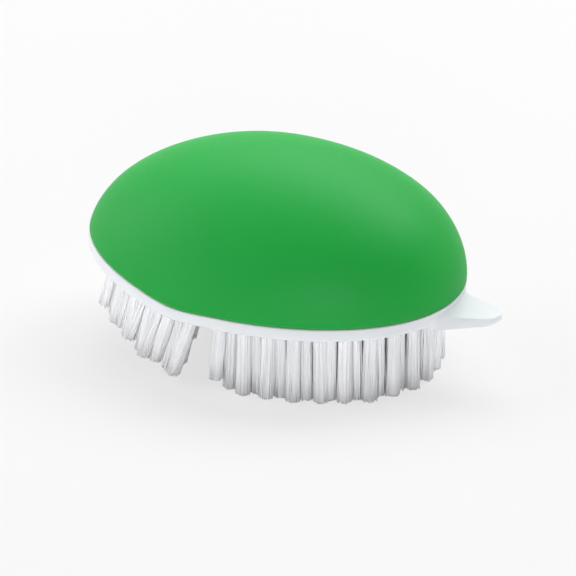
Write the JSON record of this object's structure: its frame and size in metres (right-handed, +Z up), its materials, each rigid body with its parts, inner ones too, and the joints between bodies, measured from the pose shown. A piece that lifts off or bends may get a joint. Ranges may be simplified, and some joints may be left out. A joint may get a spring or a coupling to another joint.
{
  "type": "vegetable brush",
  "caption": "Palm-held oval vegetable brush with a soft green dome, a white base that flexes along a cross line, white tufts on both sides of it and a pointed scraper tongue.",
  "frame": {"origin": "on the plane of the front tufts' tips, below the middle of the brush's box", "axes": "+X toward the tongue, +Z up from the tips to the dome"},
  "size_m": [0.121, 0.0786, 0.06],
  "materials": {
    "grip": "soft-touch satin",
    "base": "satin",
    "filament": "satin"
  },
  "bodies": {
    "front": {"grip_front": "grip", "base_front": "base", "flex_web": "base", "bristles_front_border": "filament", "bristles_front_field": "filament"},
    "rear": {"grip_rear": "grip", "base_rear": "base", "bristles_rear_border": "filament", "bristles_rear_field": "filament"}
  },
  "joints": [
    {"name": "body_flex", "type": "hinge", "parent": "front", "child": "rear", "pos_m": [-0.01022, 0, 0.0214], "axis": [0, -1, 0], "range_deg": [0, 20], "stiffness_Nm_per_rad": 2, "deforming": ["flex_web"]}
  ]
}
